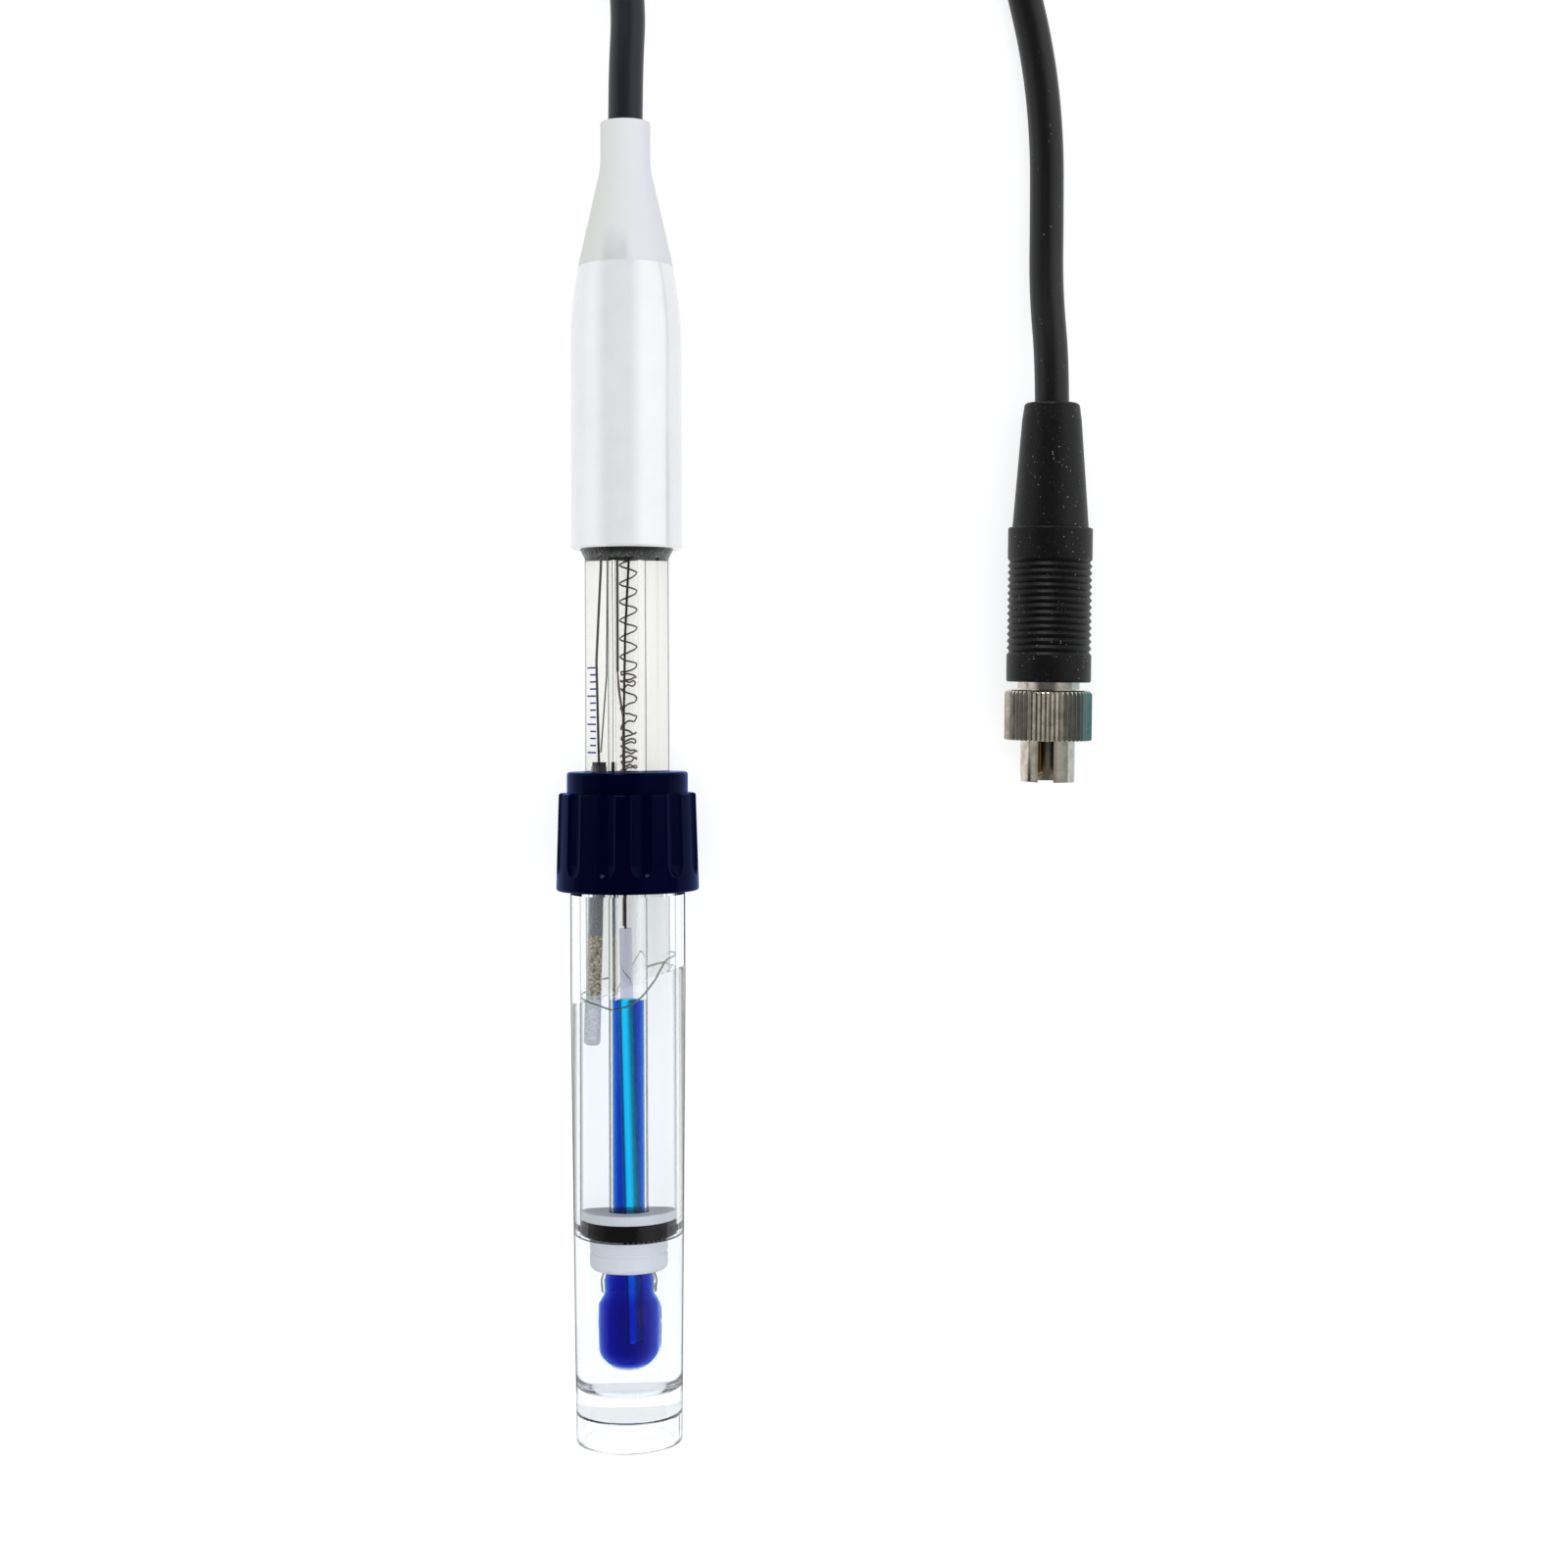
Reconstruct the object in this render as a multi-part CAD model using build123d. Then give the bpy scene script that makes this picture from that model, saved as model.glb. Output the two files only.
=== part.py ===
"""A combination pH electrode that lies on a bench in its storage vial, with its cable and plug.

Every size is in millimetres. The electrode and the plug are each drawn upright on their own axis and then
laid down. On the electrode z = 0 is the head's lower edge, +Z runs to the cable and -Z to the glass tip.
On the plug z = 0 is the shell's lower edge and +Z runs to the cable. -Y is the side that faces up at rest.
"""

from build123d import *
import math
import os

# Cable
cable_radius = 2.5
cable_in_boot = 5.0

# Head cap and cable boot
head_radius = 8.0
head_length = 40.6
head_straight = 29.0
head_top_radius = 6.88
head_wall = 1.6
head_edge = 0.3
socket_clearance = 0.05
boot_length = 20.9
boot_tip_radius = 3.6
boot_neck_length = 5.0
boot_flare_radius = 4.1
boot_flare_length = 8.6
boot_clearance = 0.05

# Outer glass shaft and the epoxy ring under the head
shaft_radius = 6.0
shaft_wall = 0.85
shaft_reach = 97.7
shaft_in_head = 12.0
shaft_lip_bend = 0.25
head_seal_drop = 1.4
head_seal_radius = 6.7
head_seal_throat = 0.35
head_seal_throat_drop = 0.85

# Inner glass stem with its blown bulb: a drop is a level below the shaft's end
stem_radius = 2.05
stem_wall = 0.35
stem_in_head = 9.0
flare_start_drop = 1.5
flare_radius = 3.0
flare_drop = 5.9
pinch_radius = 2.9
pinch_drop = 7.5
bulb_radius = 3.5
bulb_wall = 0.2
bulb_shoulder_drop = 9.2
bulb_waist_drop = 11.8
bulb_bottom_radius = 3.35
bulb_tip_drop = 18.4
flare_start_bend = 2.0
flare_bend = 0.8
bulb_shoulder_draw = 0.06
bulb_shoulder_bend = 1.2
bulb_waist_bend = 4.0
bulb_pole_flat = 0.3

# Fills and the inner electrode
fill_clearance = 0.03
blue_level = 64.0
inner_rod_radius = 0.9
inner_rod_top = 54.0
inner_rod_tip_rise = 3.8
inner_rod_top_x = -0.35
inner_rod_tip_x = 0.6

# Leads in the stem
coil_wire_radius = 0.14
coil_clearance = 0.3
coil_x = 0.2
coil_loose_pitch = 2.64
coil_loose_turns = 7
coil_tight_pitch = 1.15
coil_tight_turns = 7
coil_start = -2.0
coil_gap = 7.6
coil_section_sides = 6
sleeve_radius = 0.22
sleeve_x = -1.43
sleeve_end = 17.5
centre_lead_radius = 0.17
centre_lead_bend = 8.0
sensor_lead_radius = 0.1
sensor_lead_bend = 2.0
sensor_lead_spread = 0.35
sensor_lead_splay = 2.5
sensor_lead_crossing = 6.5
sensor_lead_x = -0.6
sensor_lead_gap = 0.3

# Reference cartridge in the gel beside the stem
cartridge_radius = 0.92
cartridge_wall = 0.15
cartridge_top = 31.0
cartridge_length = 33.0
cartridge_top_x = -3.05
cartridge_end_x = -3.72
cartridge_seal_height = 1.2
cartridge_seal_rise = 0.6
cartridge_packing_depth = 24.0
cartridge_plug_depth = 32.5
cartridge_plug_reach = 39.5
cartridge_plug_radius = 0.88
cartridge_plug_bend = 0.6
reference_lead_radius = 0.14
reference_lead_bend = 12.0
silver_wire_radius = 0.09
silver_wire_bend = 10.0
silver_wire_front = 1.25
silver_wire_top_x = -2.0
silver_wire_middle_x = -2.25
silver_wire_middle = 18.0
silver_wire_end_x = -2.95
silver_wire_end_gap = 2.0

# Junction: two PTFE rings with a rubber ring between them
ring_gap = 0.2
upper_ring_height = 1.4
junction_o_ring_height = 2.3
lower_ring_radius = 4.12
lower_ring_length = 4.7
spigot_radius = 3.5
ring_bore_clearance = 0.12
ring_groove_depth = 0.25
ring_groove_width = 0.5
ring_groove_share = 0.45
ring_step_rise = 0.1
ring_edge = 0.2
lower_ring_edge = 0.3
lower_ring_bend = 0.9

# Storage cap
cap_top = 31.8
collar_radius = 8.65
collar_height = 3.0
cap_body_radius = 9.8
cap_rim_radius = 10.2
cap_length = 16.9
cap_rim_height = 2.7
cap_plate = 1.6
cap_edge = 0.4
flute_count = 12
flute_radius = 2.6
flute_depth = 0.65
seal_ring_height = 2.0
seal_ring_width = 1.2
seal_running_clearance = 0.1
shaft_hole_clearance = 0.35
washer_height = 0.7
moving_gap = 0.1

# Storage vial and its liquid
vial_radius = 8.2
vial_straight_end = 63.0
vial_foot_radius = 7.5
vial_foot_length = 7.5
vial_neck_radius = 7.8
vial_bore_top = 6.9
vial_bore_foot = 6.45
vial_floor_drop = 2.9
vial_floor_thickness = 3.3
vial_foot_wall = 1.1
thread_room = 0.7
vial_shoulder_gap = 0.5
vial_shoulder_slope = 0.4
vial_rim_bend = 0.2
vial_foot_bend = 0.3
vial_floor_bend = 1.0
vial_under_bend = 0.6
vial_foot_draft = 0.1
vial_draft_bend = 20.0
liquid_level = 62.0
liquid_slope_deg = 21.0
liquid_clearance = 0.2
liquid_blank_rise = 9.0

# Plug
plug_boot_length = 18.0
plug_boot_tip_radius = 3.95
plug_boot_upper_radius = 4.3
plug_boot_base_radius = 5.5
plug_boot_edge = 0.5
plug_boot_shoulder = 2.5
plug_boot_bend = 2.0
shell_radius = 6.1
shell_length = 22.3
rib_count = 14
rib_pitch = 0.99
rib_depth = 0.35
rib_start = 3.9
shell_edge = 0.3
plug_flange_radius = 4.5
plug_flange_height = 1.0
plug_spigot_radius = 3.0
plug_spigot_length = 9.0
plug_spigot_room = 0.2
nut_radius = 6.3
nut_length = 7.25
nut_gap = 0.15
nut_bore_radius = 5.15
nut_lip = 1.15
nut_running_clearance = 0.2
nut_end_play = 0.3
nut_top_bend = 0.7
nut_edge = 0.3
knurl_count = 54
knurl_depth = 0.28
collar_ring_height = 0.8
collar_ring_clearance = 0.35
contact_sleeve_radius = 3.93
contact_sleeve_wall = 0.45
contact_sleeve_length = 11.0
contact_sleeve_edge = 0.15
contact_slot_width = 2.2
contact_slot_length = 7.4
contact_slot_angle = -10.0
insulator_height = 3.1
pin_radius = 0.5
pin_circle = 1.9
pin_count = 4
pin_recess = 1.2
pin_clearance = 0.02

# Where the plug lies, and the coil that the rest of the cable makes
plug_x = 60.7
plug_y = 13.2
plug_yaw_deg = 1.1
coil_centre_x = 8.0
coil_centre_y = 167.0
coil_outer_radius = 36.0
coil_inner_radius = 21.0
coil_height = 9.9
coil_rounding = 2.4

# Levels and fits that follow from the sizes above
flare_start = shaft_reach + flare_start_drop
flare_level = shaft_reach + flare_drop
pinch_level = shaft_reach + pinch_drop
bulb_shoulder = shaft_reach + bulb_shoulder_drop
bulb_waist = shaft_reach + bulb_waist_drop
bulb_tip = shaft_reach + bulb_tip_drop
inner_rod_tip = bulb_tip - inner_rod_tip_rise
vial_floor = bulb_tip + vial_floor_drop
vial_end = vial_floor + vial_foot_length
shaft_bore = shaft_radius - shaft_wall
cartridge_bore = cartridge_radius - cartridge_wall
stem_bore = stem_radius - stem_wall
socket_radius = shaft_radius + socket_clearance
cap_bottom = cap_top + cap_length
cap_step = cap_top + collar_height
seal_recess_radius = shaft_radius + seal_running_clearance + seal_ring_width + moving_gap
seal_seat = cap_top + cap_plate + seal_ring_height + 2 * moving_gap
vial_rim = seal_seat + moving_gap + washer_height
cap_bore_radius = vial_neck_radius + thread_room
ring_step = shaft_reach - ring_step_rise
o_ring_top = ring_step - junction_o_ring_height
upper_ring_top = o_ring_top - upper_ring_height
coil_radius = stem_bore - coil_clearance - coil_wire_radius


def turned(*corners):
    """A solid of revolution about Z. Each corner is (radius, height) or (radius, height, rounding)."""
    points = [(corner[0], 0, corner[1]) for corner in corners]
    rounds = [corner[2] if len(corner) > 2 else 0 for corner in corners]
    return revolve(make_face(FilletPolyline(*points, radius=rounds, close=True)), Axis.Z)


def rod(start, end, radius):
    """A straight round bar from one point to another."""
    start = Vector(start)
    along = Vector(end) - start
    return extrude(Plane(origin=start, z_dir=along) * Circle(radius), along.length)


def wire(points, radius, bend):
    """A thin round lead through points, with every bend of one radius."""
    path = FilletPolyline(*points, radius=bend)
    return sweep(Plane(origin=path @ 0, z_dir=path % 0) * Circle(radius), path)


def filling(radius, high, low):
    """A plain cylinder about Z between two heights."""
    return turned((0, high), (radius, high), (radius, low), (0, low))


def around(piece, count):
    """Copies of a piece, evenly spaced about Z."""
    return [Rot(0, 0, turn * 360 / count) * piece for turn in range(count)]


def head_cap():
    """The white moulded head: a bullet-shaped shell, open below for the glass and above for the cable."""
    outline = [
        Line((socket_radius, 0, 0), (head_radius - head_edge, 0, 0)),
        Line((head_radius - head_edge, 0, 0), (head_radius, 0, head_edge)),
        Line((head_radius, 0, head_edge), (head_radius, 0, head_straight)),
        TangentArc((head_radius, 0, head_straight), (head_top_radius, 0, head_length), tangent=(0, 0, 1)),
        Line((head_top_radius, 0, head_length), (cable_radius + boot_clearance, 0, head_length)),
        Line(
            (cable_radius + boot_clearance, 0, head_length),
            (cable_radius + boot_clearance, 0, head_cavity_end() + head_wall),
        ),
        Line(
            (cable_radius + boot_clearance, 0, head_cavity_end() + head_wall),
            (socket_radius, 0, head_cavity_end() - head_wall),
        ),
        Line((socket_radius, 0, head_cavity_end() - head_wall), (socket_radius, 0, 0)),
    ]
    return revolve(make_face(Wire([edge.edge() for edge in outline])), Axis.Z)


def head_cavity_end():
    """How far up the head is hollow."""
    return head_straight + head_wall


def potting():
    """The resin that fills the head above the glass shaft and holds the leads."""
    neck = cable_radius + boot_clearance
    return turned(
        (0, shaft_in_head),
        (socket_radius, shaft_in_head),
        (socket_radius, head_cavity_end() - head_wall),
        (neck, head_cavity_end() + head_wall),
        (0, head_cavity_end() + head_wall),
    )


def cable_boot():
    """The flexible strain relief: a slim neck that flares to the head's top, with a socket for the cable."""
    top = head_length + boot_length
    neck_end = top - boot_neck_length
    flare_end = top - boot_flare_length
    socket = cable_radius + boot_clearance
    outline = [
        Line((socket, 0, top), (boot_tip_radius, 0, top)),
        Line((boot_tip_radius, 0, top), (boot_tip_radius, 0, neck_end)),
        TangentArc((boot_tip_radius, 0, neck_end), (boot_flare_radius, 0, flare_end), tangent=(0, 0, -1)),
        Line((boot_flare_radius, 0, flare_end), (head_top_radius, 0, head_length)),
        Line((head_top_radius, 0, head_length), (0, 0, head_length)),
        Line((0, 0, head_length), (0, 0, top - cable_in_boot)),
        Line((0, 0, top - cable_in_boot), (socket, 0, top - cable_in_boot)),
        Line((socket, 0, top - cable_in_boot), (socket, 0, top)),
    ]
    return revolve(make_face(Wire([edge.edge() for edge in outline])), Axis.Z)


def head_seal():
    """The dark resin fillet where the glass leaves the head."""
    return turned(
        (shaft_radius, 0),
        (head_seal_radius, 0),
        (shaft_radius + head_seal_throat * (head_seal_radius - shaft_radius), -head_seal_throat_drop),
        (shaft_radius, -head_seal_drop),
    )


def shaft_tube():
    """The outer glass tube, fire-polished at its open end."""
    return turned(
        (shaft_bore, shaft_in_head),
        (shaft_radius, shaft_in_head),
        (shaft_radius, -shaft_reach, shaft_lip_bend),
        (shaft_bore, -shaft_reach, shaft_lip_bend),
    )


def stem_outline(inset):
    """The stem's wall below the flare's start, from the flare down to the pinch, inset from its outside."""
    return [
        (stem_radius - inset, -flare_start, flare_start_bend),
        (flare_radius - inset, -flare_level, flare_bend),
        (pinch_radius - inset, -pinch_level),
    ]


def stem_tube():
    """The inner glass tube, flared at its lower end where the bulb is blown on."""
    top = stem_in_head
    outside = stem_outline(0)
    inside = stem_outline(stem_wall)
    return turned((stem_bore, top), (stem_radius, top), *outside, *reversed(inside))


def bulb_outline(inset):
    """The bulb's wall from the pinch to its tip, inset from its outside."""
    shoulder = bulb_radius - bulb_shoulder_draw - inset
    bottom = bulb_bottom_radius - inset
    return [
        (shoulder, -bulb_shoulder, bulb_shoulder_bend),
        (bulb_radius - inset, -bulb_waist, bulb_waist_bend),
        (bottom, -bulb_tip + inset, bottom - bulb_pole_flat),
        (0, -bulb_tip + inset),
    ]


def membrane_bulb():
    """The thin pH-sensitive glass bulb, fused to the stem at the pinch."""
    neck = pinch_radius - stem_wall
    outside = bulb_outline(0)
    inside = bulb_outline(bulb_wall)
    return turned((neck, -pinch_level), (pinch_radius, -pinch_level), *outside, *reversed(inside))


def inner_rod(room=0):
    """The glass rod of the inner electrode, which leans in the stem and ends in the bulb, with room round it."""
    top = (inner_rod_top_x, 0, -inner_rod_top)
    tip = (inner_rod_tip_x, 0, -inner_rod_tip - room)
    return rod(top, tip, inner_rod_radius + room)


def blue_gel():
    """The blue buffer gel in the lower stem and the bulb."""
    stem_part = stem_outline(stem_wall + fill_clearance)
    bulb_part = bulb_outline(bulb_wall + fill_clearance)
    fill = turned((0, -blue_level), (stem_bore - fill_clearance, -blue_level), *stem_part, *bulb_part)
    return fill - inner_rod(fill_clearance)


def helix_wire(pitch, turns, start):
    """A helix of thin wire that winds down from a level below the head."""
    centre = (coil_x, 0, -start - pitch * turns)
    path = Helix(pitch=pitch, height=pitch * turns, radius=coil_radius, center=centre)
    section = Plane(origin=path @ 0, z_dir=path % 0) * RegularPolygon(coil_wire_radius, coil_section_sides)
    return sweep(section, path, is_frenet=True)


def lead_coil():
    """The wound silver lead in the stem: loose turns above and tight turns below."""
    loose_end = coil_start + coil_loose_pitch * coil_loose_turns
    upper = helix_wire(coil_loose_pitch, coil_loose_turns, coil_start)
    lower = helix_wire(coil_tight_pitch, coil_tight_turns, loose_end + coil_gap)
    return [upper, lower]


def lead_sleeve():
    """The black sleeve of the sensor leads, which lies against the stem's bore."""
    return rod((sleeve_x, 0, stem_in_head), (sleeve_x, 0, -sleeve_end), sleeve_radius)


def centre_lead():
    """The lead that runs through the wound wire down to the inner rod."""
    route = [
        (0.36, 0, stem_in_head),
        (0.3, 0, -1.5),
        (-0.25, 0, -12.0),
        (-0.5, 0, -24.0),
        (-0.4, 0, -40.0),
        (inner_rod_top_x, 0, -inner_rod_top),
    ]
    return wire(route, centre_lead_radius, centre_lead_bend)


def sensor_leads():
    """The two fine leads that leave the black sleeve."""
    pair = []
    for side in (-1, 1):
        depth = sensor_lead_spread * side
        route = [
            (sleeve_x, sensor_lead_radius * side, -sleeve_end),
            (sleeve_x + sleeve_radius, depth, -sleeve_end - sensor_lead_splay),
            (sensor_lead_x, depth, -sleeve_end - sensor_lead_crossing),
            (sensor_lead_x, depth, -inner_rod_top + sensor_lead_gap),
        ]
        pair.append(wire(route, sensor_lead_radius, sensor_lead_bend))
    return pair


def in_cartridge(piece):
    """Lean a piece drawn on the cartridge's axis, with z = 0 at its top, into its place beside the stem."""
    lean = math.degrees(math.atan2(cartridge_end_x - cartridge_top_x, cartridge_length))
    return Pos(cartridge_top_x, 0, -cartridge_top) * Rot(0, -lean, 0) * piece


def cartridge_tube():
    """The slim tube of the reference cartridge."""
    outside = filling(cartridge_radius, 0, -cartridge_length)
    return in_cartridge(outside - filling(cartridge_bore, 0, -cartridge_length))


def cartridge_seal():
    """The dark seal in the cartridge's top, where the reference lead goes in."""
    return in_cartridge(filling(cartridge_bore, cartridge_seal_rise, -cartridge_seal_height))


def cartridge_packing():
    """The grey packing in the upper cartridge."""
    return in_cartridge(filling(cartridge_bore, -cartridge_seal_height, -cartridge_packing_depth))


def cartridge_granules():
    """The silver chloride granules."""
    return in_cartridge(filling(cartridge_bore, -cartridge_packing_depth, -cartridge_plug_depth))


def cartridge_plug():
    """The cotton plug that closes the cartridge and stands out of its lower end."""
    return in_cartridge(
        turned(
            (0, -cartridge_plug_depth),
            (cartridge_bore, -cartridge_plug_depth),
            (cartridge_bore, -cartridge_length),
            (cartridge_plug_radius, -cartridge_length),
            (cartridge_plug_radius, -cartridge_plug_reach, cartridge_plug_bend),
            (0, -cartridge_plug_reach),
        )
    )


def reference_lead():
    """The black lead from the head to the cartridge's seal."""
    route = [
        (-2.7, 0, shaft_in_head),
        (-2.75, 0, -2.0),
        (-3.3, 0, -16.0),
        (cartridge_top_x, 0, -cartridge_top + cartridge_seal_rise),
    ]
    return wire(route, reference_lead_radius, reference_lead_bend)


def silver_wire():
    """The fine silver wire in front of the stem, which ends near the cartridge."""
    route = [
        (silver_wire_top_x, -silver_wire_front, shaft_in_head),
        (silver_wire_middle_x, -silver_wire_front, -silver_wire_middle),
        (silver_wire_end_x, -silver_wire_front, -cartridge_top + silver_wire_end_gap),
    ]
    return wire(route, silver_wire_radius, silver_wire_bend)


def reference_gel():
    """The clear reference gel that fills the shaft round everything in it."""
    room = filling(shaft_bore, shaft_in_head, -upper_ring_top)
    stem = filling(stem_radius, shaft_in_head, -upper_ring_top)
    cartridge = in_cartridge(filling(cartridge_radius, 0, -cartridge_length))
    return room - stem - cartridge - cartridge_seal() - cartridge_plug() - reference_lead() - silver_wire()


def upper_junction_ring():
    """The porous white ring that holds the stem in the middle of the shaft."""
    bore = stem_radius + ring_bore_clearance
    rim = shaft_bore - ring_gap
    return turned(
        (bore, -upper_ring_top),
        (rim, -upper_ring_top, ring_edge),
        (rim, -o_ring_top, ring_edge),
        (bore, -o_ring_top),
    )


def junction_o_ring():
    """The black rubber ring that closes the gap between the shaft's end and the junction."""
    rounding = 0.45 * (shaft_bore - spigot_radius)
    return turned(
        (spigot_radius, -o_ring_top, rounding),
        (shaft_bore, -o_ring_top, rounding),
        (shaft_bore, -ring_step, rounding),
        (spigot_radius, -ring_step, rounding),
    )


def lower_junction_ring():
    """The white ring below the shaft, with a spigot in the rubber ring and a fine groove round its side."""
    bottom = ring_step + lower_ring_length
    middle = ring_step + ring_groove_share * lower_ring_length
    slope = (flare_radius - stem_radius) / (flare_level - flare_start)
    bore = stem_radius + ring_bore_clearance
    flared = bore + slope * (bottom - flare_start)
    return turned(
        (bore, -o_ring_top),
        (spigot_radius, -o_ring_top),
        (spigot_radius, -ring_step),
        (lower_ring_radius, -ring_step, lower_ring_edge),
        (lower_ring_radius, -middle + ring_groove_width / 2),
        (lower_ring_radius - ring_groove_depth, -middle),
        (lower_ring_radius, -middle - ring_groove_width / 2),
        (lower_ring_radius, -bottom, lower_ring_bend),
        (flared, -bottom),
        (bore, -flare_start),
    )


def flute_cutter():
    """A rounded groove cutter on the cap's right side, open at the step and ended by a ball below."""
    out = flute_radius - flute_depth
    low = cap_bottom - cap_rim_height - flute_radius / 2
    share = (low - cap_step) / (cap_bottom - cap_step)
    end = (cap_body_radius + share * (cap_rim_radius - cap_body_radius) + out, 0, -low)
    start = (cap_body_radius + out, 0, -cap_step + cap_edge)
    return rod(start, end, flute_radius) + Pos(*end) * Sphere(flute_radius)


def storage_cap():
    """The navy screw cap: a collar over a fluted skirt, with a seal recess round the shaft's hole."""
    hole = shaft_radius + shaft_hole_clearance
    blank = turned(
        (hole, -cap_top),
        (collar_radius, -cap_top, cap_edge),
        (collar_radius, -cap_step),
        (cap_body_radius, -cap_step, cap_edge),
        (cap_rim_radius, -cap_bottom, cap_edge),
        (cap_bore_radius, -cap_bottom),
        (cap_bore_radius, -seal_seat),
        (seal_recess_radius, -seal_seat),
        (seal_recess_radius, -cap_top - cap_plate),
        (hole, -cap_top - cap_plate),
    )
    step = 360 / flute_count
    return Rot(0, 0, step / 2) * (blank - around(flute_cutter(), flute_count))


def cap_seal_ring():
    """The rubber ring in the cap that seals against the glass shaft."""
    inner = shaft_radius + seal_running_clearance
    high = -cap_top - cap_plate - moving_gap
    low = high - seal_ring_height
    outer = inner + seal_ring_width
    rounding = 0.4 * seal_ring_width
    return turned(
        (inner, high, rounding),
        (outer, high, rounding),
        (outer, low, rounding),
        (inner, low, rounding),
    )


def vial_washer():
    """The flat washer on the vial's rim."""
    inner = shaft_radius + shaft_hole_clearance
    high = -vial_rim + washer_height
    low = -vial_rim
    return turned((inner, high), (vial_neck_radius, high), (vial_neck_radius, low), (inner, low))


def storage_vial():
    """The clear moulded vial: a neck for the cap, a body with draft, and a floor above a hollow foot."""
    shoulder = cap_bottom + vial_shoulder_gap
    under = vial_floor + vial_floor_thickness
    foot_inside = vial_foot_radius - vial_foot_wall
    return turned(
        (vial_bore_top, -vial_rim, vial_rim_bend),
        (vial_neck_radius, -vial_rim, vial_rim_bend),
        (vial_neck_radius, -shoulder + vial_shoulder_slope),
        (vial_radius, -shoulder),
        (vial_radius, -vial_straight_end, vial_draft_bend),
        (vial_foot_radius, -vial_end, vial_foot_bend),
        (foot_inside, -vial_end, vial_foot_bend),
        (foot_inside + vial_foot_draft, -under, vial_under_bend),
        (0, -under),
        (0, -vial_floor),
        (vial_bore_foot, -vial_floor, vial_floor_bend),
        (vial_bore_top, -vial_straight_end, vial_draft_bend),
    )


def storage_solution():
    """The clear storage liquid round the glass and the rings, up to a sloping film between the glasses."""
    shaft_room = shaft_radius + liquid_clearance
    ring_room = lower_ring_radius + liquid_clearance
    bulb_room = bulb_radius + liquid_clearance
    ring_bottom = ring_step + lower_ring_length
    top = liquid_level - liquid_blank_rise
    body = turned(
        (0, -vial_floor),
        (vial_bore_foot, -vial_floor, vial_floor_bend),
        (vial_bore_top, -vial_straight_end, vial_draft_bend),
        (vial_bore_top, -top),
        (shaft_room, -top),
        (shaft_room, -shaft_reach - liquid_clearance),
        (ring_room, -shaft_reach - liquid_clearance),
        (ring_room, -ring_bottom - liquid_clearance),
        (bulb_room, -ring_bottom - liquid_clearance),
        (bulb_room, -bulb_tip - liquid_clearance),
        (0, -bulb_tip - liquid_clearance),
    )
    surface = Plane(origin=(0, 0, -liquid_level)).rotated((0, -liquid_slope_deg, 0))
    return split(body, bisect_by=surface, keep=Keep.BOTTOM)


def rib_profile():
    """The shell's outer edge from its lower collar up through the V-shaped ribs, as (radius, height)."""
    edge = [(shell_radius, rib_start)]
    for rib in range(rib_count):
        valley = rib_start + (rib + 0.5) * rib_pitch
        edge.append((shell_radius - rib_depth, valley))
        edge.append((shell_radius, valley + rib_pitch / 2))
    return edge


def plug_shell():
    """The plug's moulded grip, ribbed round its middle between two plain collars."""
    socket = plug_spigot_radius + socket_clearance
    depth = plug_spigot_length + plug_spigot_room
    return turned(
        (socket, 0),
        (shell_radius, 0, shell_edge),
        *rib_profile(),
        (shell_radius, shell_length, shell_edge),
        (0, shell_length),
        (0, depth),
        (socket, depth),
    )


def plug_boot():
    """The plug's tapered strain relief, with a socket for the cable."""
    top = shell_length + plug_boot_length
    socket = cable_radius + boot_clearance
    shoulder = top - plug_boot_shoulder
    return turned(
        (socket, top),
        (plug_boot_tip_radius, top, plug_boot_edge),
        (plug_boot_upper_radius, shoulder, plug_boot_bend),
        (plug_boot_base_radius, shell_length),
        (0, shell_length),
        (0, top - cable_in_boot),
        (socket, top - cable_in_boot),
    )


def nut_lip_end():
    """The lower face of the nut's inward lip."""
    return -plug_flange_height - nut_gap - nut_lip


def sleeve_root():
    """The lower face of the plug body, where the contact sleeve and the insulator sit."""
    return nut_lip_end() - nut_end_play - collar_ring_height


def plug_body():
    """The turned body: a spigot in the shell, a flange below it, and a collar that keeps the nut on."""
    hub = contact_sleeve_radius
    keeper = nut_bore_radius - collar_ring_clearance
    collar_top = sleeve_root() + collar_ring_height
    return turned(
        (0, plug_spigot_length),
        (plug_spigot_radius, plug_spigot_length),
        (plug_spigot_radius, 0),
        (plug_flange_radius, 0),
        (plug_flange_radius, -plug_flange_height),
        (hub, -plug_flange_height),
        (hub, collar_top),
        (keeper, collar_top),
        (keeper, sleeve_root()),
        (0, sleeve_root()),
    )


def coupling_nut():
    """The knurled nickel nut that screws the plug to the meter."""
    high = -plug_flange_height - nut_gap
    low = high - nut_length
    hole = contact_sleeve_radius + nut_running_clearance
    blank = turned(
        (hole, high),
        (nut_radius, high, nut_top_bend),
        (nut_radius, low, nut_edge),
        (nut_bore_radius, low),
        (nut_bore_radius, nut_lip_end()),
        (hole, nut_lip_end()),
    )
    half = math.pi * nut_radius / knurl_count
    deep = nut_radius - knurl_depth
    out = nut_radius + knurl_depth
    notch = make_face(Polyline((deep, 0), (out, -2 * half), (out, 2 * half), close=True))
    groove = Pos(0, 0, low) * extrude(notch, nut_length)
    return blank - around(groove, knurl_count)


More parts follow.
